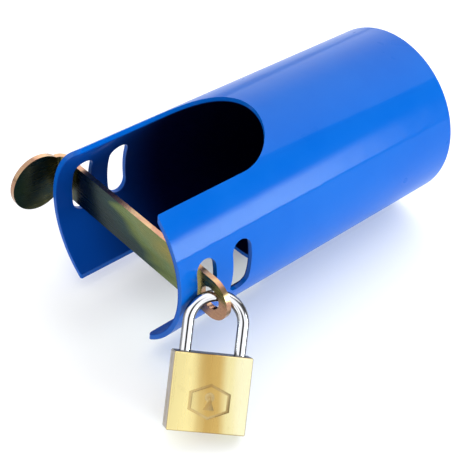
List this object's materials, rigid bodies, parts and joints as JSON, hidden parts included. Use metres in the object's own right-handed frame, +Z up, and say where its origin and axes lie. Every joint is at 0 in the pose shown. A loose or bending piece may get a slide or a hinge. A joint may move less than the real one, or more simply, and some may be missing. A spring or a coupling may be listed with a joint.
{
  "type": "trailer coupler lock",
  "caption": "Steel tube that slips over a trailer's coupler head, crossed at its slotted mouth by a flat steel strip that a brass padlock holds by an eye in its end",
  "frame": {"origin": "on the tube's axis, in the plane of its open mouth", "axes": "+Y along the tube from its mouth to its welded end, +X towards the padlock's side, +Z up"},
  "size_m": [0.1766, 0.2466, 0.108],
  "materials": {
    "blue_paint": "gloss",
    "weld_paint": "gloss",
    "yellow_zinc": "satin",
    "brass_body": "brushed",
    "chrome_shackle": "polished",
    "brass_plug": "satin",
    "brass_pin": "satin",
    "spring_steel": "satin",
    "hard_steel": "satin"
  },
  "bodies": {
    "tube": {"tube_shell": "blue_paint", "end_disc": "blue_paint", "end_weld": "weld_paint"},
    "strip": {"locking_strip": "yellow_zinc"},
    "shackle_bow": {"shackle": "chrome_shackle"},
    "padlock": {"padlock_body": "brass_body", "shackle_spring": "spring_steel", "shackle_retaining_pin": "hard_steel", "plug_retaining_pin": "hard_steel", "latch_spring": "spring_steel", "latch_bore_plug": "brass_pin", "driver_pin_1": "brass_pin", "pin_spring_1": "spring_steel", "chamber_plug_1": "brass_pin", "driver_pin_2": "brass_pin", "pin_spring_2": "spring_steel", "chamber_plug_2": "brass_pin", "driver_pin_3": "brass_pin", "pin_spring_3": "spring_steel", "chamber_plug_3": "brass_pin", "driver_pin_4": "brass_pin", "pin_spring_4": "spring_steel", "chamber_plug_4": "brass_pin"},
    "plug": {"key_plug": "brass_plug", "plug_cam": "brass_plug", "key_pin_1": "brass_pin", "key_pin_2": "brass_pin", "key_pin_3": "brass_pin", "key_pin_4": "brass_pin"},
    "latch": {"latch_bolt": "hard_steel"}
  },
  "joints": [
    {"name": "strip_slide", "type": "slide", "parent": "tube", "child": "strip", "axis": [1, 0, 0], "range_m": [0, 0.008]},
    {"name": "padlock_swing", "type": "hinge", "parent": "strip", "child": "shackle_bow", "pos_m": [0.06023, 0.0145, 0.00264], "axis": [-0.4775, -0.876, -0.0681], "range_deg": [-10, 60]},
    {"name": "shackle_lift", "type": "slide", "parent": "shackle_bow", "child": "padlock", "axis": [0.4618, -0.4956, -0.7356], "range_m": [0, 0.009]},
    {"name": "key_turn", "type": "hinge", "parent": "padlock", "child": "plug", "pos_m": [0.08862, -0.01065, -0.03941], "axis": [-0.4618, 0.4956, 0.7356], "range_deg": [0, 90]},
    {"name": "latch_slide", "type": "slide", "parent": "padlock", "child": "latch", "axis": [-0.6212, -0.7727, 0.1305], "range_m": [0, 0.0023]}
  ],
  "couplings": [
    {"joint": "latch_slide", "follows": "key_turn", "m_per_rad": 0.001464}
  ]
}
